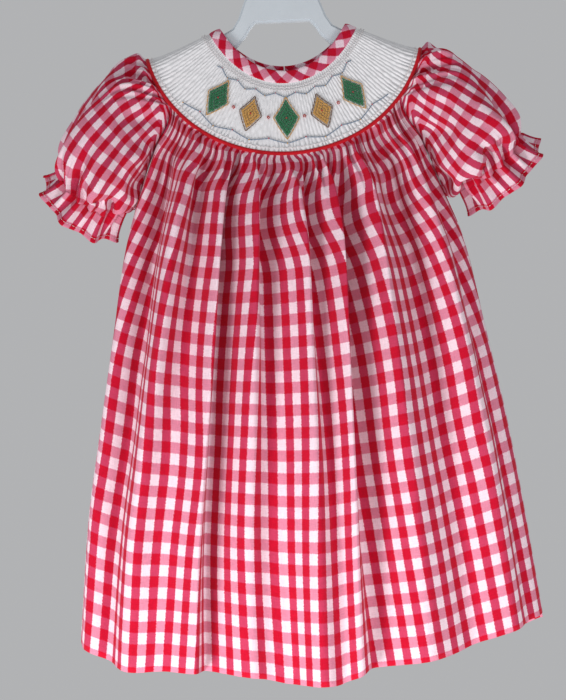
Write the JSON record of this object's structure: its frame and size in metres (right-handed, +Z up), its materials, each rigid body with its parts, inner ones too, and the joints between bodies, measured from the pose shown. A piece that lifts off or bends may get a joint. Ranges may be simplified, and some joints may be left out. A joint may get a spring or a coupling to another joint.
{
  "type": "smocked dress on a hanger",
  "caption": "Child's short-sleeved dress with a round smocked yoke, red piping and puff sleeves, in red and white check, on a white hanger.",
  "frame": {"origin": "inner top of the hanger's hook, where a rod carries it", "axes": "+Z up; the front of the dress faces -Y; the wearer's left sleeve is at +X"},
  "size_m": [0.377, 0.1066, 0.5811],
  "materials": {
    "red_check_cotton": "matt woven check",
    "red_piping_cotton": "matt",
    "white_smocked_cotton": "matt, pleated",
    "white_plastic": "smooth",
    "white_button": "smooth"
  },
  "bodies": {
    "root": {"skirt_front": "red_check_cotton", "skirt_back_left": "red_check_cotton", "skirt_back_right": "red_check_cotton", "sleeve_left": "red_check_cotton", "sleeve_right": "red_check_cotton", "sleeve_frill_left": "red_check_cotton", "sleeve_frill_right": "red_check_cotton", "neck_binding": "red_check_cotton", "yoke_piping": "red_piping_cotton", "yoke_front": "white_smocked_cotton", "yoke_back_left": "white_smocked_cotton", "yoke_back_right": "white_smocked_cotton", "back_placket": "white_smocked_cotton", "button_1": "white_button", "button_2": "white_button", "button_3": "white_button", "hanger": "white_plastic"}
  },
  "joints": []
}
